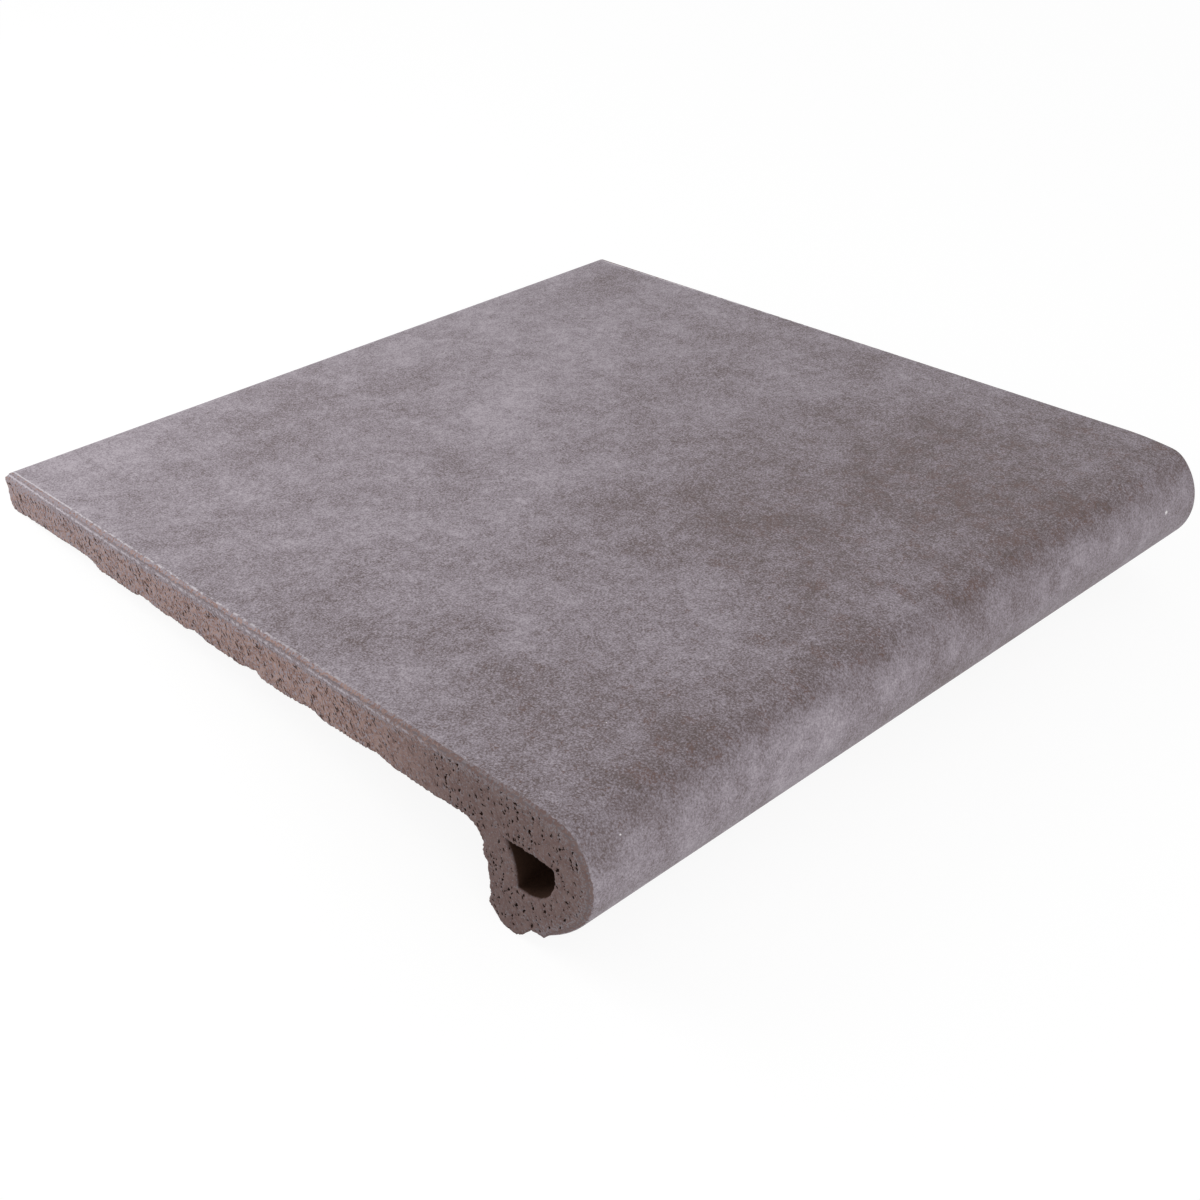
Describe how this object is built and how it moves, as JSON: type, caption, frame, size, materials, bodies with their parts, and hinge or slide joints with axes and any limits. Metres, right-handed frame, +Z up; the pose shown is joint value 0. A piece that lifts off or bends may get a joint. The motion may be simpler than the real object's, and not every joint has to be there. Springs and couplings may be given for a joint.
{
  "type": "stair nosing tile",
  "caption": "Extruded clay stair nosing tile: a flat glazed tread that ends in a thick hollow bullnose with a heel behind it.",
  "frame": {"origin": "centre of the bounding box, at the level of the floor that the tile lies on", "axes": "+X from the back edge to the nose, +Y along the step, +Z up; the tile lies as it rests unheld, on its heel and its back edge, so its tread rises 7.7 degrees towards the nose"},
  "size_m": [0.3295, 0.325, 0.0561],
  "materials": {
    "glazed_clay": "matte"
  },
  "bodies": {
    "root": {"stair_nosing_tile": "glazed_clay"}
  },
  "joints": []
}
